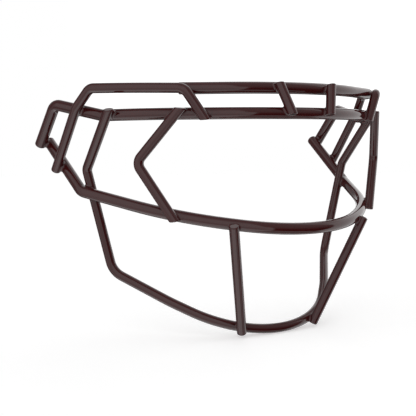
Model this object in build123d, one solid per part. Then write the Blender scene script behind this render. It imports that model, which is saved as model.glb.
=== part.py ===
"""Football helmet face guard: bent steel wires welded into one open cage, in millimetres.

The origin is the middle of the brow bar's centreline. +X points to the wearer's left, +Y to
the back of the head and +Z up, so the guard faces -Y and is the same on both sides of X = 0.
The four bars run from side to side. Every strut is laid across the bars at stations, which
are lengths of wire measured from the middle of the bar that carries it.
"""
import math
import os

from build123d import *

# Wire stock, with its coating
bar_wire = 7.2
strut_wire = 6.05
cut_end_round = 0.7
offcut_size = 20.0
cut_level_share = 0.85

# Welds: how deep a crossing wire is sunk into the other, and the bead around the joint, whose
# radius is the two wires' mean radius and a margin
set_down = 1.2
bead_margin = 1.7
bead_height = 2.4
bead_rim_share = 0.4

# A point inside the head, which every strut lies outside of
head_y = 95.0
head_z = -55.0

# Brow bar: level, with its rear legs bent down towards the jaw hinges
brow_nose_x = 28.8
brow_cheek_x = 91.5
brow_cheek_y = 37.0
brow_cheek_share = 0.95
brow_temple_x = 102.8
brow_temple_y = 67.1
brow_rear_x = 116.5
brow_rear_y = 106.2
brow_rear_z = 7.9
brow_end_x = 117.0
brow_end_y = 130.2
brow_end_z = -17.4
brow_bend = 8.0

# Upper brow bar: a short arc above the brow bar, nearly level
upper_nose_x = 25.5
upper_nose_y = 4.1
upper_nose_z = 15.1
upper_slope_degrees = -1.3
upper_end_x = 73.8
upper_end_y = 26.5

# Jaw bar: round the mouth, rising to the rear ends of the brow bar
jaw_nose_x = 24.3
jaw_nose_y = -5.6
jaw_nose_z = -68.7
jaw_slope_degrees = 13.4
jaw_cheek_x = 74.4
jaw_cheek_y = 27.7
jaw_cheek_share = 0.86
jaw_corner_x = 107.7
jaw_corner_y = 88.0
jaw_bend = 8.0
jaw_brow_inset = 2.1
jaw_end_overhang = 0.9

# Chin bar: under the chin, then up inside the jaw bar to the brow bar
chin_nose_x = 32.3
chin_nose_y = 28.2
chin_nose_z = -134.9
chin_slope_degrees = 31.8
chin_cheek_x = 62.9
chin_cheek_y = 58.5
chin_cheek_share = 0.26
chin_corner_x = 87.4
chin_corner_y = 87.4
chin_lower_bend = 12.0
chin_jaw_station = 148.8
chin_upright_share = 1.25
chin_upper_bend = 5.5
chin_brow_station = 123.4
chin_top_overhang = 6.8

# Side loops: from the jaw bar's rear legs over the temples to the brow bar's front
loop_jaw_station = 178.8
loop_foot_overhang = 3.9
loop_brow_station = 148.4
loop_knee_rise = 2.9
loop_knee_bend = 10.0
loop_rear_x = 109.5
loop_rear_y = 70.2
loop_rear_z = 16.2
loop_crown_out = 5.5
loop_crown_up = 0.1
loop_crown_share = 0.7
loop_upper_inset = 0.5
loop_front_lead = 4.8
loop_bend = 6.5
loop_front_station = 66.5
loop_tip_overhang = 4.0

# Side chevrons: bent struts from the brow bar to the jaw bar
chevron_brow_station = 81.3
chevron_elbow_x = 94.0
chevron_elbow_y = 41.9
chevron_elbow_z = -28.4
chevron_bend = 6.0
chevron_jaw_station = 86.1
chevron_top_overhang = 5.4
chevron_foot_overhang = 3.1
chevron_foot_level_share = 0.6

# Chin struts: from the jaw bar down to the chin bar
chin_strut_jaw_station = 50.2
chin_strut_chin_station = 27.6
chin_strut_top_overhang = 2.2
chin_strut_foot_overhang = 1.5

# Brow struts: between the two brow bars
brow_strut_upper_station = 18.8
brow_strut_brow_station = 14.4
brow_strut_top_overhang = 1.5
brow_strut_foot_overhang = 2.7

joining_gap = 0.0001
settling_rounds = 4


def opposite(point):
    """The same point on the other side of the middle plane."""
    return Vector(-point.X, point.Y, point.Z)


def beyond(start, end, overhang):
    """Point on the line from start to end, past the end by the overhang."""
    return end + (end - start).normalized() * overhang


def half_turn(before, corner, after):
    """Half the angle, in radians, by which a wire turns at a corner."""
    return math.radians(180 - (before - corner).get_angle(after - corner)) / 2


def bend_path(points, radii):
    """Centreline of a bent wire: straight runs joined by an arc at each inner point."""
    edges = []
    start = points[0]
    for before, corner, after, radius in zip(points, points[1:], points[2:], radii):
        back = (before - corner).normalized()
        ahead = (after - corner).normalized()
        half = half_turn(before, corner, after)
        setback = radius * math.tan(half)
        rise = radius / math.cos(half) - radius
        arc_start = corner + back * setback
        arc_middle = corner + (back + ahead).normalized() * rise
        arc_end = corner + ahead * setback
        if (arc_start - start).length > joining_gap:
            edges.append(Line(start, arc_start))
        edges.append(ThreePointArc(arc_start, arc_middle, arc_end))
        start = arc_end
    edges.append(Line(start, points[-1]))
    return Wire(edges)


def bar_path(half_points, half_radii):
    """Centreline of a whole bar, from its points and radii on the wearer's left.

    The first point is the corner in the middle plane, and the others are mirrored.
    """
    points = [opposite(point) for point in reversed(half_points[1:])] + half_points
    radii = list(reversed(half_radii[1:])) + half_radii
    return bend_path(points, radii)


def on_slope(nose, slope, x, y):
    """Point at x and y in the plane of a bar's front, which rises to the rear from the nose."""
    return Vector(x, y, nose.Z + (y - nose.Y) * math.tan(math.radians(slope)))


def nose_bend(nose, nose_x, next_point):
    """Middle corner and radius of the arc that crosses the middle plane at the nose.

    The arc's tangent at the nose meets the run to the next point at nose_x.
    """
    tangent_corner = Vector(nose_x, nose.Y, nose.Z)
    run = next_point - tangent_corner
    middle = tangent_corner - run * (nose_x / run.X)
    radius = nose_x / math.tan(half_turn(nose, tangent_corner, next_point))
    return middle, radius


def front_bends(nose, nose_x, cheek, corner, cheek_share):
    """Middle, cheek and corner points of a bar's front, and the radii of the first two.

    The cheek's arc takes up a share of the shorter of the two runs beside it.
    """
    middle, nose_radius = nose_bend(nose, nose_x, cheek)
    nose_run = (cheek - Vector(nose_x, nose.Y, nose.Z)).length - nose_x
    free_run = min(nose_run, (corner - cheek).length)
    cheek_radius = free_run * cheek_share / math.tan(half_turn(middle, cheek, corner))
    return [middle, cheek, corner], [nose_radius, cheek_radius]


def bar_point(bar, station):
    """Point of a bar's centreline at a length of wire from its middle."""
    return bar.position_at(bar.length / 2 + station, PositionMode.LENGTH)


def laid_on(bar, station, towards, reach):
    """Centre of a wire that crosses a bar on its outer side and heads towards a point.

    A negative reach lays the wire on the bar's inner side.
    """
    on_bar = bar_point(bar, station)
    along = bar.tangent_at(bar.length / 2 + station, PositionMode.LENGTH)
    seat = on_bar
    for settling in range(settling_rounds):
        out = along.cross(towards - seat).normalized()
        if out.dot(on_bar - Vector(0, head_y, head_z)) < 0:
            out = -out
        seat = on_bar + out * reach
    return seat


def spanning(first_bar, first_station, first_reach, second_bar, second_station, second_reach):
    """Centres of a straight wire where it crosses two bars on their outer sides."""
    second = bar_point(second_bar, second_station)
    for settling in range(settling_rounds):
        first = laid_on(first_bar, first_station, second, first_reach)
        second = laid_on(second_bar, second_station, first, second_reach)
    return first, second


def bent_wire(path, diameter, offcuts=()):
    """Round wire along a path, with its offcuts taken off and the rims of its ends rounded."""
    section = Plane(origin=path @ 0, z_dir=path % 0) * Circle(diameter / 2)
    body = sweep(section, path=path)
    for block in offcuts:
        body = body - block
    cut_ends = body.faces().filter_by(GeomType.PLANE)
    return fillet(cut_ends.edges(), cut_end_round)


def offcut(bar, station, seat, last_corner, overhang, level_share):
    """Block that takes off a wire's end, where it has passed its seat by the overhang.

    The cut is square to the wire at a level share of 0, and level with the bar at 1.
    """
    ahead = (seat - last_corner).normalized()
    along = bar.tangent_at(bar.length / 2 + station, PositionMode.LENGTH)
    side = along.cross(seat - bar_point(bar, station)).normalized()
    if side.dot(ahead) < 0:
        side = -side
    facing = ahead * (1 - level_share) + side * level_share
    cut = Plane(origin=seat + ahead * overhang, z_dir=facing)
    block = Cylinder(offcut_size, offcut_size, align=(Align.CENTER, Align.CENTER, Align.MIN))
    return cut * block


def bead(bar, bar_diameter, station, seat):
    """Disc of weld metal round the joint of a bar and the wire that crosses it at the seat."""
    on_bar = bar_point(bar, station)
    out = (seat - on_bar).normalized()
    joint = Plane(origin=on_bar + out * (bar_diameter - set_down) / 2, z_dir=out)
    disc = joint * Cylinder(bead_radius, bead_height)
    return fillet(disc.edges().filter_by(GeomType.CIRCLE), bead_height * bead_rim_share)


def pair(solid):
    """The solid and its mirror image, as one group."""
    return Compound([*solid.solids(), *mirror(solid, Plane.YZ).solids()])


bead_radius = (bar_wire + strut_wire) / 4 + bead_margin
bar_reach = bar_wire - set_down
strut_reach = (bar_wire + strut_wire) / 2 - set_down
thin_reach = strut_wire - set_down

# Brow bar: its front is level
brow_nose = Vector(0, 0, 0)
brow_cheek = on_slope(brow_nose, 0, brow_cheek_x, brow_cheek_y)
brow_temple = on_slope(brow_nose, 0, brow_temple_x, brow_temple_y)
brow_rear = Vector(brow_rear_x, brow_rear_y, brow_rear_z)
brow_end = Vector(brow_end_x, brow_end_y, brow_end_z)
brow_points, brow_radii = front_bends(
    brow_nose, brow_nose_x, brow_cheek, brow_temple, brow_cheek_share
)
brow = bar_path(brow_points + [brow_rear, brow_end], brow_radii + [brow_bend, brow_bend])
brow_bar = bent_wire(brow, bar_wire)

# Upper brow bar: one arc and two straight runs
upper_nose = Vector(0, upper_nose_y, upper_nose_z)
upper_end = on_slope(upper_nose, upper_slope_degrees, upper_end_x, upper_end_y)
upper_middle, upper_radius = nose_bend(upper_nose, upper_nose_x, upper_end)
upper = bar_path([upper_middle, upper_end], [upper_radius])
upper_brow_bar = bent_wire(upper, bar_wire)

# Jaw bar, with its ends laid inside the brow bar's rear legs
jaw_nose = Vector(0, jaw_nose_y, jaw_nose_z)
jaw_cheek = on_slope(jaw_nose, jaw_slope_degrees, jaw_cheek_x, jaw_cheek_y)
jaw_corner = on_slope(jaw_nose, jaw_slope_degrees, jaw_corner_x, jaw_corner_y)
jaw_points, jaw_radii = front_bends(jaw_nose, jaw_nose_x, jaw_cheek, jaw_corner, jaw_cheek_share)
hinge_station = brow.length / 2 - jaw_brow_inset
hinge_seat = laid_on(brow, hinge_station, jaw_corner, -bar_reach)
jaw_end = beyond(jaw_corner, hinge_seat, jaw_end_overhang)
jaw = bar_path(jaw_points + [jaw_end], jaw_radii + [jaw_bend])
jaw_wire = bent_wire(jaw, bar_wire)
jaw_bar = jaw_wire - brow_bar

# Chin bar: its upright legs pass inside the jaw bar, and its ends lie on the brow bar
chin_nose = Vector(0, chin_nose_y, chin_nose_z)
chin_cheek = on_slope(chin_nose, chin_slope_degrees, chin_cheek_x, chin_cheek_y)
chin_corner = on_slope(chin_nose, chin_slope_degrees, chin_corner_x, chin_corner_y)
chin_points, chin_radii = front_bends(
    chin_nose, chin_nose_x, chin_cheek, chin_corner, chin_cheek_share
)
chin_jaw_seat = laid_on(jaw, chin_jaw_station, chin_corner, -strut_reach)
chin_elbow = chin_corner + (chin_jaw_seat - chin_corner) * chin_upright_share
chin_brow_seat = laid_on(brow, chin_brow_station, chin_elbow, strut_reach)
chin_top = beyond(chin_elbow, chin_brow_seat, offcut_size)
chin = bar_path(
    chin_points + [chin_elbow, chin_top], chin_radii + [chin_lower_bend, chin_upper_bend]
)
chin_offcut = offcut(
    brow, chin_brow_station, chin_brow_seat, chin_elbow, chin_top_overhang, cut_level_share
)
chin_wire = bent_wire(chin, strut_wire, [chin_offcut, mirror(chin_offcut, Plane.YZ)])
chin_bar = chin_wire - jaw_bar - brow_bar

# Side loop, on the wearer's left: up from the jaw bar, outside the brow bar's side, over the
# temple and down to the brow bar's front
loop_foot_seat, loop_side_seat = spanning(
    jaw, loop_jaw_station, strut_reach, brow, loop_brow_station, strut_reach
)
loop_foot = beyond(loop_side_seat, loop_foot_seat, loop_foot_overhang)
loop_knee = beyond(loop_foot_seat, loop_side_seat, loop_knee_rise)
loop_rear = Vector(loop_rear_x, loop_rear_y, loop_rear_z)
loop_upper_station = upper.length / 2 - loop_upper_inset
loop_run = bar_point(upper, loop_upper_station) - loop_rear
loop_out = Vector(0, 0, 1).cross(loop_run).normalized()
loop_crown = loop_rear + loop_run / 2 + loop_out * loop_crown_out + Vector(0, 0, loop_crown_up)
loop_upper_seat = bar_point(upper, loop_upper_station) + loop_out * strut_reach
loop_front = beyond(loop_crown, loop_upper_seat, loop_front_lead)
loop_tip_seat = laid_on(brow, loop_front_station, loop_front, strut_reach)
loop_tip = beyond(loop_front, loop_tip_seat, offcut_size)
crown_run = min((loop_crown - loop_rear).length, (loop_front - loop_crown).length)
crown_half = half_turn(loop_rear, loop_crown, loop_front)
crown_bend = crown_run * loop_crown_share / math.tan(crown_half)
loop = bend_path(
    [loop_foot, loop_knee, loop_rear, loop_crown, loop_front, loop_tip],
    [loop_knee_bend, loop_bend, crown_bend, loop_bend],
)
loop_offcut = offcut(
    brow, loop_front_station, loop_tip_seat, loop_front, loop_tip_overhang, cut_level_share
)
loop_wire = bent_wire(loop, strut_wire, [loop_offcut])
side_loop = loop_wire - jaw_bar - brow_bar - upper_brow_bar

# Side chevron, on the wearer's left
chevron_elbow = Vector(chevron_elbow_x, chevron_elbow_y, chevron_elbow_z)
chevron_brow_seat = laid_on(brow, chevron_brow_station, chevron_elbow, strut_reach)
chevron_jaw_seat = laid_on(jaw, chevron_jaw_station, chevron_elbow, strut_reach)
chevron_top = beyond(chevron_elbow, chevron_brow_seat, offcut_size)
chevron_foot = beyond(chevron_elbow, chevron_jaw_seat, offcut_size)
chevron_top_offcut = offcut(
    brow, chevron_brow_station, chevron_brow_seat, chevron_elbow,
    chevron_top_overhang, cut_level_share,
)
chevron_foot_offcut = offcut(
    jaw, chevron_jaw_station, chevron_jaw_seat, chevron_elbow,
    chevron_foot_overhang, chevron_foot_level_share,
)
chevron = bend_path([chevron_top, chevron_elbow, chevron_foot], [chevron_bend])
chevron_wire = bent_wire(chevron, strut_wire, [chevron_top_offcut, chevron_foot_offcut])
side_chevron = chevron_wire - brow_bar - jaw_bar

# Chin strut, on the wearer's left
chin_strut_top, chin_strut_foot = spanning(
    jaw, chin_strut_jaw_station, strut_reach, chin, chin_strut_chin_station, thin_reach
)
chin_strut_start = beyond(chin_strut_foot, chin_strut_top, chin_strut_top_overhang)
chin_strut_end = beyond(chin_strut_top, chin_strut_foot, chin_strut_foot_overhang)
chin_strut_wire = bent_wire(Wire([Line(chin_strut_start, chin_strut_end)]), strut_wire)
chin_strut = chin_strut_wire - jaw_bar - chin_bar

# Brow strut, on the wearer's left
brow_strut_top, brow_strut_foot = spanning(
    upper, brow_strut_upper_station, strut_reach, brow, brow_strut_brow_station, strut_reach
)
brow_strut_start = beyond(brow_strut_foot, brow_strut_top, offcut_size)
brow_strut_end = beyond(brow_strut_top, brow_strut_foot, offcut_size)
brow_strut_top_offcut = offcut(
    upper, brow_strut_upper_station, brow_strut_top, brow_strut_foot,
    brow_strut_top_overhang, cut_level_share,
)
brow_strut_foot_offcut = offcut(
    brow, brow_strut_brow_station, brow_strut_foot, brow_strut_top,
    brow_strut_foot_overhang, cut_level_share,
)
brow_strut_wire = bent_wire(
    Wire([Line(brow_strut_start, brow_strut_end)]),
    strut_wire,
    [brow_strut_top_offcut, brow_strut_foot_offcut],
)
brow_strut = brow_strut_wire - upper_brow_bar - brow_bar

# Welds on each bar: the station, the other wire's centre there, and that wire, whole
brow_joints = {
    "hinge_welds": (hinge_station, hinge_seat, jaw_wire),
    "chin_bar_brow_welds": (chin_brow_station, chin_brow_seat, chin_wire),
    "loop_side_welds": (loop_brow_station, loop_side_seat, loop_wire),
    "loop_front_welds": (loop_front_station, loop_tip_seat, loop_wire),
    "chevron_brow_welds": (chevron_brow_station, chevron_brow_seat, chevron_wire),
    "brow_strut_brow_welds": (brow_strut_brow_station, brow_strut_foot, brow_strut_wire),
}
upper_joints = {
    "loop_upper_welds": (loop_upper_station, loop_upper_seat, loop_wire),
    "brow_strut_upper_welds": (brow_strut_upper_station, brow_strut_top, brow_strut_wire),
}
jaw_joints = {
    "chin_bar_jaw_welds": (chin_jaw_station, chin_jaw_seat, chin_wire),
    "loop_jaw_welds": (loop_jaw_station, loop_foot_seat, loop_wire),
    "chevron_jaw_welds": (chevron_jaw_station, chevron_jaw_seat, chevron_wire),
    "chin_strut_jaw_welds": (chin_strut_jaw_station, chin_strut_top, chin_strut_wire),
}
chin_joints = {
    "chin_strut_chin_welds": (chin_strut_chin_station, chin_strut_foot, chin_strut_wire),
}
bars = [
    (brow, brow_bar, bar_wire, brow_joints),
    (upper, upper_brow_bar, bar_wire, upper_joints),
    (jaw, jaw_wire, bar_wire, jaw_joints),
    (chin, chin_wire, strut_wire, chin_joints),
]

parts = {
    "brow_bar": brow_bar,
    "upper_brow_bar": upper_brow_bar,
    "jaw_bar": jaw_bar,
    "chin_bar": chin_bar,
    "side_loop_left": side_loop,
    "side_chevron_left": side_chevron,
    "chin_strut_left": chin_strut,
    "brow_strut_left": brow_strut,
}
for strut in ("side_loop", "side_chevron", "chin_strut", "brow_strut"):
    parts[strut + "_right"] = mirror(parts[strut + "_left"], Plane.YZ)
for bar, bar_solid, diameter, joints in bars:
    for name, (station, seat, wire) in joints.items():
        parts[name] = pair(bead(bar, diameter, station, seat) - bar_solid - wire)

os.makedirs("parts", exist_ok=True)
for name, solid in parts.items():
    export_step(solid, f"parts/{name}.step")
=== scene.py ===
"""Looks of a football helmet face guard: glossy maroon powder coat over welded steel wire.

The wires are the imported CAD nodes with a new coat. The beads of weld are replaced by coated
fillets, whose shape is worked out from the two wires that meet at each joint.
"""
import math

import bpy
import numpy as np
from mathutils import Matrix, Vector


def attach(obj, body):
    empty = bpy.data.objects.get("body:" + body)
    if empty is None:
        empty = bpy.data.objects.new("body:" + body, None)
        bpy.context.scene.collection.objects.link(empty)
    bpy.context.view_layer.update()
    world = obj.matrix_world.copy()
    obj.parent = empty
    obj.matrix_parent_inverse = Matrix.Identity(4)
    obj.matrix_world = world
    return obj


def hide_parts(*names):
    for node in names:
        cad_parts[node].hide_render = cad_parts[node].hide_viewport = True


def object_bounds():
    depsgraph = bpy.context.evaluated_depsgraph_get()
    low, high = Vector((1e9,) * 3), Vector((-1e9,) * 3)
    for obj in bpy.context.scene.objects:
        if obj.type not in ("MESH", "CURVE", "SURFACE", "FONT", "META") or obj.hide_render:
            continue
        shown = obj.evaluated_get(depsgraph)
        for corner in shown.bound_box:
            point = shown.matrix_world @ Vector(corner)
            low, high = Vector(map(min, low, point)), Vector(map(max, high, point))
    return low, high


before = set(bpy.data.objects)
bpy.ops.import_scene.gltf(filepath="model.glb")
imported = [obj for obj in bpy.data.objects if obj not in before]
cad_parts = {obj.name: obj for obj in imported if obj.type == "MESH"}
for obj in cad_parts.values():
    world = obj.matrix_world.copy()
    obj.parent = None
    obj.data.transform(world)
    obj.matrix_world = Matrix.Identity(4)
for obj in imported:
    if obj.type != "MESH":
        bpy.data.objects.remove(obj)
cad_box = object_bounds()
scene = bpy.context.scene
scene.view_settings.view_transform = "Standard"

# Camera, fitted to the photograph: angles in degrees, distances in metres, the image in pixels
# and the sensor in millimetres
image_width = 416
camera_azimuth = -32.948
camera_elevation = 4.112
camera_roll = -0.578
camera_depth = 0.5377
focal_pixels = 895.0
origin_pixel_x = 306.8
origin_pixel_y = 113.3
sensor_width = 36.0
nearest_seen = 0.01

# Wire, with its coating. The chin bar is of the struts' thinner wire
bar_radius = 0.0036
strut_radius = 0.003025
rim_round = 0.0007
BAR_NODES = ("brow_bar", "upper_brow_bar", "jaw_bar")

# How far round a joint the wires are read, how finely each face is divided, and where in each
# small triangle of it the sample lies
sample_reach = 0.008
sample_steps = 14
sample_shift = 1 / 3

# Fit of a wire's middle line: its rounds, and which points are kept as near it
fit_rounds = 8
fit_slack = 0.0003
fit_quantile = 0.7
fit_spread = 1.5

# Cut ends of wires: how much they face along the wire, how flat they are and their least area
end_facing = 0.6
end_flatness = 0.9998
end_least_share = 0.3
end_inset = 0.002

# Weld fillets: points round a joint and across the fillet, how far its edges go into the wires,
# and where the core that closes it lies on the way out from the joint's heart
steps_round = 216
steps_across = 12
skirt_depth = 0.0004
core_share = 0.25

# Search for the rolling ball's centre: the grid's size and steps, then Newton's steps
search_reach = 0.012
search_depth = 0.005
search_steps = 60
settling_rounds = 12
longest_step = 0.0005
slope_step = 0.000001
least_length = 1e-12

# Each group of welds: the bar, the wire that crosses it, and the fillet's radius
WELD_JOINTS = {
    "hinge_welds": ("brow_bar", "jaw_bar", 0.0012),
    "chin_bar_brow_welds": ("brow_bar", "chin_bar", 0.0011),
    "chin_bar_jaw_welds": ("jaw_bar", "chin_bar", 0.0011),
    "loop_jaw_welds": ("jaw_bar", "side_loop", 0.0011),
    "loop_side_welds": ("brow_bar", "side_loop", 0.0010),
    "loop_upper_welds": ("upper_brow_bar", "side_loop", 0.0007),
    "loop_front_welds": ("brow_bar", "side_loop", 0.0010),
    "chevron_brow_welds": ("brow_bar", "side_chevron", 0.0010),
    "chevron_jaw_welds": ("jaw_bar", "side_chevron", 0.0010),
    "chin_strut_jaw_welds": ("jaw_bar", "chin_strut", 0.0010),
    "chin_strut_chin_welds": ("chin_bar", "chin_strut", 0.0010),
    "brow_strut_upper_welds": ("upper_brow_bar", "brow_strut", 0.0010),
    "brow_strut_brow_welds": ("brow_bar", "brow_strut", 0.0010),
}

# Coat colours, as linear values, and how strongly the clear skin bends light
coat_color = (0.050, 0.0058, 0.0060, 1.0)
coat_deep_color = (0.040, 0.0042, 0.0045, 1.0)
coat_ior = 1.5

# Coat surface: the drift of colour and gloss, the ripples, and the nibs of dust, whose height
# is in ripples. Scales are cells to a metre, heights metres and gloss the roughness range
drift_scale = 45
drift_detail = 3
ripple_detail = 2
nib_scale = 160
nib_reach = 0.07
nib_height = 2.5
bar_ripple_scale = 520
bar_ripple_height = 0.000004
bar_gloss = (0.05, 0.09)
weld_ripple_scale = 700
weld_ripple_height = 0.000006
weld_gloss = (0.12, 0.2)

# Sockets of a Mix node that mixes colours, which share their names with others of the node
mix_first_color = 6
mix_second_color = 7
mix_result_color = 2

# Studio's brightness, and the floor: its grey, the light of its own that only the camera sees,
# and its size
studio_level = 1.16
floor_grey = 0.8
floor_lift = 0.45
floor_radius = 3.0
floor_steps = 64

# Half width of a patch that goes all round, and the elevations of the studio's poles
all_round = 180
straight_down = -90
straight_up = 90

# Plain white, and the part of a direction that is level
white = (1, 1, 1, 1)
level_part = (1, 1, 0)

# Patches of the studio that the gloss shows, in the order in which they are laid over it. Each
# has the azimuth of its middle and half its width, its lowest and highest elevation, the
# softness of its sides and of its ends, all in degrees, and its brightness. The floor has
# patches too, because the gloss doesn't see the real one
STUDIO_PATCHES = (
    ("left, low", -145, 48, -90, -12, 10, 8, 0.9),
    ("left, above", -130, 24, 45, 90, 12, 5, 0.85),
    ("right wall", 2, 46, -90, 90, 3, 8, 1.35),
    ("above the right wall", -10, 28, 36, 90, 6, 8, 0.85),
    ("left of the curtain", 158, 12, -90, 90, 6, 8, 0.95),
    ("back curtain", 108, 38, -90, 90, 8, 10, 0.26),
    ("foot of the curtain", 108, 38, -90, -27, 8, 5, 0.52),
    ("behind, low", 60, 26, -90, -3, 8, 6, 0.08),
    ("front right", -60.5, 30.5, -90, 90, 2, 20, 0.47),
    ("front right, high", -64, 34, 12, 90, 3, 5, 0.47),
    ("front right, low", -61, 31, -90, 5, 2, 30, 0.02),
    ("ceiling", 0, 180, 60, 90, 0, 8, 0.54),
    ("floor", 0, 180, -90, -44, 0, 6, 1.6),
    ("floor, front right", -52, 40, -90, -46, 8, 6, 0.66),
    ("floor, right", -8, 24, -90, -46, 10, 6, 0.35),
)


def add_camera():
    """Camera that sees the guard as the photograph does.

    The frame's origin lies at its pixel, at the camera's depth. The camera stands where the
    ray through that pixel takes it, and looks along the fitted azimuth and elevation.
    """
    azimuth, elevation, roll = np.radians([camera_azimuth, camera_elevation, camera_roll])
    right = np.array([math.cos(azimuth), math.sin(azimuth), 0.0])
    level = np.array([-math.sin(azimuth), math.cos(azimuth), 0.0])
    forward = math.cos(elevation) * level - math.sin(elevation) * np.array([0.0, 0.0, 1.0])
    up = np.cross(right, forward)
    rolled_right = math.cos(roll) * right + math.sin(roll) * up
    rolled_up = math.cos(roll) * up - math.sin(roll) * right
    across = (origin_pixel_x - image_width / 2) / focal_pixels
    above = (image_width / 2 - origin_pixel_y) / focal_pixels
    place = -camera_depth * (forward + across * rolled_right + above * rolled_up)
    data = bpy.data.cameras.new("camera")
    data.sensor_width = sensor_width
    data.lens = focal_pixels / image_width * sensor_width
    data.clip_start = nearest_seen
    camera = bpy.data.objects.new("camera", data)
    turn = Matrix(np.column_stack([rolled_right, rolled_up, -forward]).tolist())
    camera.matrix_world = Matrix.Translation(Vector(place.tolist())) @ turn.to_4x4()
    scene.collection.objects.link(camera)
    scene.camera = camera


def wire_radius(node):
    """Radius of a node's wire."""
    return bar_radius if node in BAR_NODES else strut_radius


def surface_samples(node, center):
    """Points spread over the faces of a node near a place, their normals and their areas.

    A point of a face is its first corner times 1 - s - t, plus its second times s, plus its
    third times t, where s and t take even steps. The area is double that of the whole face.
    """
    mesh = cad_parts[node].data
    places = np.empty(len(mesh.vertices) * 3)
    mesh.vertices.foreach_get("co", places)
    corners = np.empty(len(mesh.polygons) * 3, dtype=np.int32)
    mesh.polygons.foreach_get("vertices", corners)
    corners = places.reshape(-1, 3)[corners.reshape(-1, 3)]
    low = corners.min(axis=1) - sample_reach
    high = corners.max(axis=1) + sample_reach
    close = np.all((low < center) & (center < high), axis=1)
    first, second, third = np.moveaxis(corners[close], 1, 0)
    cross = np.cross(second - first, third - first)
    double_area = np.linalg.norm(cross, axis=1)
    normals = cross / np.maximum(double_area, np.finfo(float).tiny)[:, None]
    steps = (np.arange(sample_steps) + sample_shift) / sample_steps
    towards_second, towards_third = np.meshgrid(steps, steps)
    inside = towards_second + towards_third < 1
    share_second = towards_second[inside][None, :, None]
    share_third = towards_third[inside][None, :, None]
    points = (
        first[:, None] * (1 - share_second - share_third)
        + second[:, None] * share_second
        + third[:, None] * share_third
    )
    near = np.linalg.norm(points - center, axis=2) < sample_reach
    normals = np.broadcast_to(normals[:, None], points.shape)[near]
    areas = np.broadcast_to(double_area[:, None], near.shape)[near]
    return points[near], normals, areas


def wire_line(samples, radius):
    """A wire's middle line near a joint, as a point and a direction.

    Each point of a round wire's surface, moved in by the radius, lies on the middle line. The
    line is first the direction that the normals least point along, and then the main
    direction of the moved points, while those that lie off it are dropped.
    """
    points, normals, areas = samples
    inner = points - normals * radius
    along = np.linalg.eigh((normals * areas[:, None]).T @ normals)[1][:, 0]
    keep = np.ones(len(inner), dtype=bool)
    for fit in range(fit_rounds):
        weights = areas[keep] / areas[keep].sum()
        middle = weights @ inner[keep]
        beside = inner - middle
        beside = beside - np.outer(beside @ along, along)
        off = np.linalg.norm(beside, axis=1)
        keep = off < max(fit_slack, np.quantile(off[keep], fit_quantile) * fit_spread)
        weights = areas[keep] / areas[keep].sum()
        middle = weights @ inner[keep]
        spread = (inner[keep] - middle) * np.sqrt(weights)[:, None]
        along = np.linalg.svd(spread, full_matrices=False)[2][0]
    return middle, along


def unit(vectors):
    """Vectors of length one."""
    return vectors / np.linalg.norm(vectors, axis=-1, keepdims=True)


def cut_ends(samples, radius, along):
    """Flat ends of a wire near a joint, each as a point and the way it faces.

    The largest face that looks along the wire gives an end's direction.
    """
    points, normals, areas = samples
    least_area = end_least_share * math.pi * radius**2
    ends = []
    for ahead in (along, -along):
        facing = normals @ ahead > end_facing
        if not facing.any():
            continue
        flat_normal = normals[facing][areas[facing].argmax()]
        flat = normals @ flat_normal > end_flatness
        if areas[flat].sum() / sample_steps**2 > least_area:
            ends.append((points[flat].mean(axis=0), flat_normal))
    return ends


def wire_near(node, center):
    """A wire near a joint: a point and the direction of its middle line, radius and cut ends."""
    samples = surface_samples(node, center)
    radius = wire_radius(node)
    middle, along = wire_line(samples, radius)
    return middle, along, radius, cut_ends(samples, radius, along)


def held_inside(point, wire):
    """Point of a wire's middle line, moved back till it is well inside each cut end."""
    middle, along, radius, ends = wire
    for place, facing in ends:
        past = (point - place) @ facing + end_inset
        point = point - along * max(past, 0) / (along @ facing)
    return point


def joint_points(bar_wire, strut_wire):
    """Points of two wires' middle lines that are nearest to each other, inside their ends."""
    bar_middle, bar_along = bar_wire[:2]
    strut_middle, strut_along = strut_wire[:2]
    lines = np.column_stack([bar_along, -strut_along])
    shares = np.linalg.lstsq(lines, strut_middle - bar_middle, rcond=None)[0]
    bar_point = held_inside(bar_middle + bar_along * shares[0], bar_wire)
    strut_share = (bar_point - strut_middle) @ strut_along
    strut_point = held_inside(strut_middle + strut_along * strut_share, strut_wire)
    return bar_point, strut_point


def distance(points, wire):
    """Distance of points from a wire's surface.

    It is the distance from the middle line less the radius. Where a cut end is near, it and the
    distance past the end are joined by a rounded rim, as sqrt(a^2 + b^2) outside the rim.
    """
    middle, along, radius, ends = wire
    beside = points - middle
    beside = beside - (beside @ along)[..., None] * along
    away = np.linalg.norm(beside, axis=-1) - radius
    for place, facing in ends:
        past = (points - place) @ facing
        rim = np.stack([away, past]) + rim_round
        away = np.linalg.norm(np.maximum(rim, 0), axis=0)
        away = away + np.minimum(rim.max(axis=0), 0) - rim_round
    return away


def slope(points, wire):
    """Direction in which the distance from a wire grows at points, by central differences."""
    steps = np.eye(3) * slope_step
    rises = [distance(points + step, wire) - distance(points - step, wire) for step in steps]
    return np.stack(rises, axis=-1) / (2 * slope_step)


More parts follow.
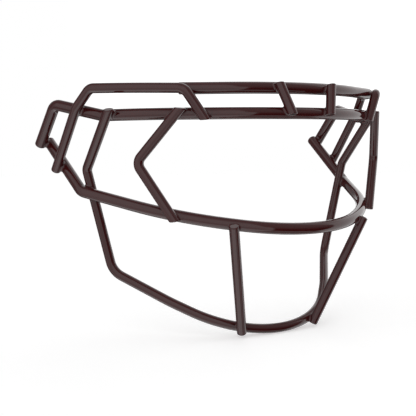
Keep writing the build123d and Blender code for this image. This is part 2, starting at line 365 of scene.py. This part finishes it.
def weld_ring(bar, strut, fillet, center):
    """Fillet all round the joint of two crossing wires, as rings of points.

    A ball of the fillet's radius r rolls round the joint and touches both wires. Its centre c
    solves d1(c) = r, d2(c) = r and (c - heart) . t = 0, where d1 and d2 are the distances from
    the wires and t is square to the direction in which the ball lies from the joint's heart.
    The best point of a coarse grid is the start, and Newton's steps do the rest. Each ring is
    the ball's arc between the points where it touches the wires, closed through the metal
    inside the joint.
    """
    bar_wire = wire_near(bar, center)
    strut_wire = wire_near(strut, center)
    bar_point, strut_point = joint_points(bar_wire, strut_wire)
    out = unit(strut_point - bar_point)
    apart = (strut_point - bar_point) @ out
    heart = bar_point + out * (wire_radius(bar) - wire_radius(strut) + apart) / 2
    bar_along = bar_wire[1]
    forward = unit(bar_along - out * (bar_along @ out))
    sideways = np.cross(out, forward)
    turn = np.linspace(0, 2 * math.pi, steps_round, endpoint=False)[:, None]
    away = np.cos(turn) * forward + np.sin(turn) * sideways
    square = np.cos(turn) * sideways - np.sin(turn) * forward
    reach, rise = np.meshgrid(
        np.linspace(0, search_reach, search_steps),
        np.linspace(-search_depth, search_depth, search_steps),
    )
    grid = heart + reach.reshape(-1, 1) * away[:, None] + rise.reshape(-1, 1) * out
    misfit = np.hypot(distance(grid, bar_wire) - fillet, distance(grid, strut_wire) - fillet)
    balls = grid[np.arange(steps_round), misfit.argmin(axis=1)]
    for settling in range(settling_rounds):
        slopes = np.stack([slope(balls, bar_wire), slope(balls, strut_wire), square], axis=1)
        errors = np.stack([
            distance(balls, bar_wire) - fillet,
            distance(balls, strut_wire) - fillet,
            np.sum((balls - heart) * square, axis=1),
        ], axis=1)
        step = np.linalg.solve(slopes, errors[..., None])[..., 0]
        length = np.linalg.norm(step, axis=1, keepdims=True)
        balls = balls - step * np.minimum(1, longest_step / np.maximum(length, least_length))
    low_arm = -unit(slope(balls, bar_wire))
    high_arm = -unit(slope(balls, strut_wire))
    opening = np.arccos(np.clip(np.sum(low_arm * high_arm, axis=1), -1, 1))[:, None]
    across = np.linspace(0, 1, steps_across)[:, None, None]
    arms = np.sin((1 - across) * opening) * low_arm + np.sin(across * opening) * high_arm
    arcs = balls + arms / np.sin(opening) * fillet
    high_skirt = balls + high_arm * (fillet + skirt_depth)
    low_skirt = balls + low_arm * (fillet + skirt_depth)
    core = heart + (arcs[0] + arcs[-1] - 2 * heart) / 2 * core_share
    return np.concatenate([arcs, high_skirt[None], core[None], low_skirt[None]])


def closed_grid(rings):
    """Faces of a grid of points that is closed both ways, as indices.

    A face joins a point, the next across, the next round from that, and the next round.
    """
    across, round_count = rings.shape[:2]
    index = np.arange(across * round_count).reshape(across, round_count)
    beside = np.roll(index, -1, axis=0)
    corners = [index, beside, np.roll(beside, -1, axis=1), np.roll(index, -1, axis=1)]
    return np.stack(corners, axis=-1).reshape(-1, 4)


def signed_volume(points, faces):
    """Six times the volume inside closed faces of four corners, negative if they face inwards.

    Each face is two triangles, and each triangle adds a . (b x c).
    """
    a, b, c, d = np.moveaxis(points[faces], 1, 0)
    halves = np.einsum("ij,ij->i", a, np.cross(b, c)) + np.einsum("ij,ij->i", a, np.cross(c, d))
    return halves.sum()


def weld_piece(group, material):
    """Adds both fillets of a group of welds, in place of the group's CAD node."""
    bar, strut, fillet = WELD_JOINTS[group]
    bead_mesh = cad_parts[group].data
    places = np.empty(len(bead_mesh.vertices) * 3)
    bead_mesh.vertices.foreach_get("co", places)
    places = places.reshape(-1, 3)
    points = []
    faces = []
    for side, on_side in (("_left", places[:, 0] > 0), ("_right", places[:, 0] < 0)):
        center = places[on_side].mean(axis=0)
        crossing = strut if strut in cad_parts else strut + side
        rings = weld_ring(bar, crossing, fillet, center)
        grid = closed_grid(rings)
        ring_points = rings.reshape(-1, 3)
        if signed_volume(ring_points, grid) < 0:
            grid = grid[:, ::-1]
        faces.append(grid + sum(len(earlier) for earlier in points))
        points.append(ring_points)
    points = np.concatenate(points)
    faces = np.concatenate(faces)
    mesh = bpy.data.meshes.new(group + "_fillet")
    mesh.from_pydata(points.tolist(), [], faces.tolist())
    mesh.polygons.foreach_set("use_smooth", np.ones(len(faces), dtype=bool))
    mesh.update()
    piece = bpy.data.objects.new(group + "_fillet", mesh)
    scene.collection.objects.link(piece)
    mesh.materials.append(material)
    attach(piece, "root")
    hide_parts(group)


def link(tree, source, output, target, socket):
    """Joins an output of one shader node to a socket of another."""
    tree.links.new(source.outputs[output], target.inputs[socket])


def coat_surface_group():
    """Surface of sprayed powder, as a node group.

    The colour drifts with slow noise between the full and the deep one, and so does the
    gloss between its low and high roughness. The height is fine noise, rippled as orange peel
    is, plus a small nib of dust at the middle of each cell of a Voronoi pattern.
    """
    group = bpy.data.node_groups.new("coat surface", "ShaderNodeTree")
    for name, kind in (
        ("Color", "NodeSocketColor"),
        ("Deep Color", "NodeSocketColor"),
        ("Ripple Scale", "NodeSocketFloat"),
        ("Ripple Height", "NodeSocketFloat"),
        ("Gloss Low", "NodeSocketFloat"),
        ("Gloss High", "NodeSocketFloat"),
    ):
        group.interface.new_socket(name, in_out="INPUT", socket_type=kind)
    for name, kind in (
        ("Color", "NodeSocketColor"),
        ("Roughness", "NodeSocketFloat"),
        ("Normal", "NodeSocketVector"),
    ):
        group.interface.new_socket(name, in_out="OUTPUT", socket_type=kind)
    given = group.nodes.new("NodeGroupInput")
    result = group.nodes.new("NodeGroupOutput")
    place = group.nodes.new("ShaderNodeTexCoord")
    drift = group.nodes.new("ShaderNodeTexNoise")
    drift.inputs["Scale"].default_value = drift_scale
    drift.inputs["Detail"].default_value = drift_detail
    link(group, place, "Object", drift, "Vector")
    tint = group.nodes.new("ShaderNodeMix")
    tint.data_type = "RGBA"
    link(group, drift, "Fac", tint, "Factor")
    link(group, given, "Deep Color", tint, mix_first_color)
    link(group, given, "Color", tint, mix_second_color)
    gloss = group.nodes.new("ShaderNodeMapRange")
    link(group, drift, "Fac", gloss, "Value")
    link(group, given, "Gloss Low", gloss, "To Min")
    link(group, given, "Gloss High", gloss, "To Max")
    ripple = group.nodes.new("ShaderNodeTexNoise")
    ripple.inputs["Detail"].default_value = ripple_detail
    link(group, place, "Object", ripple, "Vector")
    link(group, given, "Ripple Scale", ripple, "Scale")
    nibs = group.nodes.new("ShaderNodeTexVoronoi")
    nibs.inputs["Scale"].default_value = nib_scale
    link(group, place, "Object", nibs, "Vector")
    nib = group.nodes.new("ShaderNodeMapRange")
    nib.interpolation_type = "SMOOTHSTEP"
    nib.inputs["From Min"].default_value = nib_reach
    nib.inputs["From Max"].default_value = 0.0
    nib.inputs["To Max"].default_value = nib_height
    link(group, nibs, "Distance", nib, "Value")
    height = group.nodes.new("ShaderNodeMath")
    height.operation = "ADD"
    link(group, ripple, "Fac", height, 0)
    link(group, nib, "Result", height, 1)
    bump = group.nodes.new("ShaderNodeBump")
    link(group, height, "Value", bump, "Height")
    link(group, given, "Ripple Height", bump, "Distance")
    link(group, tint, mix_result_color, result, "Color")
    link(group, gloss, "Result", result, "Roughness")
    link(group, bump, "Normal", result, "Normal")
    return group


def coat_material(name, group, ripple_scale, ripple_height, gloss):
    """Maroon powder coat: a dark body colour under a clear, glossy skin."""
    material = bpy.data.materials.new(name)
    material.use_nodes = True
    tree = material.node_tree
    shader = tree.nodes["Principled BSDF"]
    surface = tree.nodes.new("ShaderNodeGroup")
    surface.node_tree = group
    surface.inputs["Color"].default_value = coat_color
    surface.inputs["Deep Color"].default_value = coat_deep_color
    surface.inputs["Ripple Scale"].default_value = ripple_scale
    surface.inputs["Ripple Height"].default_value = ripple_height
    surface.inputs["Gloss Low"].default_value = gloss[0]
    surface.inputs["Gloss High"].default_value = gloss[1]
    link(tree, surface, "Color", shader, "Base Color")
    link(tree, surface, "Roughness", shader, "Roughness")
    link(tree, surface, "Normal", shader, "Normal")
    shader.inputs["IOR"].default_value = coat_ior
    return material


def floor_material():
    """Pale floor that the camera sees as white, with the object's shadow."""
    material = bpy.data.materials.new("white floor")
    material.use_nodes = True
    tree = material.node_tree
    tree.nodes.clear()
    output = tree.nodes.new("ShaderNodeOutputMaterial")
    matt = tree.nodes.new("ShaderNodeBsdfDiffuse")
    matt.inputs["Color"].default_value = (floor_grey, floor_grey, floor_grey, 1)
    glow = tree.nodes.new("ShaderNodeEmission")
    glow.inputs["Color"].default_value = white
    path = tree.nodes.new("ShaderNodeLightPath")
    lift = tree.nodes.new("ShaderNodeMath")
    lift.operation = "MULTIPLY"
    lift.inputs[1].default_value = floor_lift
    link(tree, path, "Is Camera Ray", lift, 0)
    link(tree, lift, "Value", glow, "Strength")
    both = tree.nodes.new("ShaderNodeAddShader")
    link(tree, matt, "BSDF", both, 0)
    link(tree, glow, "Emission", both, 1)
    link(tree, both, "Shader", output, "Surface")
    return material


def add_floor():
    """Round white floor under the guard's lowest point, which the gloss doesn't see."""
    turn = np.linspace(0, 2 * math.pi, floor_steps, endpoint=False)
    low = np.full(floor_steps, cad_box[0][2])
    points = np.column_stack([floor_radius * np.cos(turn), floor_radius * np.sin(turn), low])
    mesh = bpy.data.meshes.new("floor")
    mesh.from_pydata(points.tolist(), [], [list(range(floor_steps))])
    floor = bpy.data.objects.new("floor", mesh)
    floor.visible_glossy = False
    mesh.materials.append(floor_material())
    scene.collection.objects.link(floor)


def ramp(tree, source, output, low, high):
    """Map Range node that rises smoothly from 0 to 1 between two values of an output."""
    node = tree.nodes.new("ShaderNodeMapRange")
    node.interpolation_type = "SMOOTHSTEP"
    node.inputs["From Min"].default_value = low
    node.inputs["From Max"].default_value = high
    link(tree, source, output, node, "Value")
    return node


def product(tree, first, second):
    """Math node that multiplies two masks."""
    node = tree.nodes.new("ShaderNodeMath")
    node.operation = "MULTIPLY"
    link(tree, first, 0, node, 0)
    link(tree, second, 0, node, 1)
    return node


def heading(azimuth):
    """Level direction from the guard at an azimuth in degrees, from +X towards +Y."""
    azimuth = math.radians(azimuth)
    return math.cos(azimuth), math.sin(azimuth), 0.0


def patch_masks(tree, level, height, azimuth, half_width, low, high, side_soft, end_soft):
    """Ramps that are 1 inside a patch of the studio: one for its width and one for each end."""
    masks = []
    if half_width < all_round:
        near = tree.nodes.new("ShaderNodeVectorMath")
        near.operation = "DOT_PRODUCT"
        near.inputs[1].default_value = heading(azimuth)
        link(tree, level, "Vector", near, 0)
        outer = math.cos(math.radians(half_width + side_soft))
        inner = math.cos(math.radians(half_width - side_soft))
        masks.append(ramp(tree, near, "Value", outer, inner))
    if low > straight_down:
        edges = [math.sin(math.radians(low + soft)) for soft in (-end_soft, end_soft)]
        masks.append(ramp(tree, height, "Z", *edges))
    if high < straight_up:
        edges = [math.sin(math.radians(high + soft)) for soft in (end_soft, -end_soft)]
        masks.append(ramp(tree, height, "Z", *edges))
    return masks


def add_world():
    """White studio with brighter and darker patches, which the gloss shows and the camera doesn't.

    A direction's level part tells how near it is to a patch's azimuth, and its height is the
    sine of its elevation. Each patch is mixed over those before it by the product of its
    masks.
    """
    world = bpy.data.worlds.new("studio")
    scene.world = world
    world.use_nodes = True
    tree = world.node_tree
    tree.nodes.clear()
    output = tree.nodes.new("ShaderNodeOutputWorld")
    background = tree.nodes.new("ShaderNodeBackground")
    background.inputs["Color"].default_value = white
    place = tree.nodes.new("ShaderNodeTexCoord")
    height = tree.nodes.new("ShaderNodeSeparateXYZ")
    link(tree, place, "Generated", height, 0)
    flat = tree.nodes.new("ShaderNodeVectorMath")
    flat.operation = "MULTIPLY"
    flat.inputs[1].default_value = level_part
    link(tree, place, "Generated", flat, 0)
    level = tree.nodes.new("ShaderNodeVectorMath")
    level.operation = "NORMALIZE"
    link(tree, flat, "Vector", level, 0)
    light = None
    for name, *outline, brightness in STUDIO_PATCHES:
        masks = patch_masks(tree, level, height, *outline)
        share = masks[0]
        for mask in masks[1:]:
            share = product(tree, share, mask)
        laid = tree.nodes.new("ShaderNodeMix")
        laid.label = name
        laid.inputs["B"].default_value = brightness
        link(tree, share, 0, laid, "Factor")
        if light is None:
            laid.inputs["A"].default_value = studio_level
        else:
            link(tree, light, "Result", laid, "A")
        light = laid
    path = tree.nodes.new("ShaderNodeLightPath")
    seen = tree.nodes.new("ShaderNodeMath")
    seen.operation = "MAXIMUM"
    link(tree, light, "Result", seen, 0)
    link(tree, path, "Is Camera Ray", seen, 1)
    link(tree, seen, "Value", background, "Strength")
    link(tree, background, "Background", output, "Surface")


add_camera()
coat_group = coat_surface_group()
bar_coat = coat_material(
    "bar coat", coat_group, bar_ripple_scale, bar_ripple_height, bar_gloss
)
weld_coat = coat_material(
    "weld coat", coat_group, weld_ripple_scale, weld_ripple_height, weld_gloss
)

for node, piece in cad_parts.items():
    if node not in WELD_JOINTS:
        piece.data.materials.clear()
        piece.data.materials.append(bar_coat)
for joint_group in WELD_JOINTS:
    weld_piece(joint_group, weld_coat)

add_floor()
add_world()
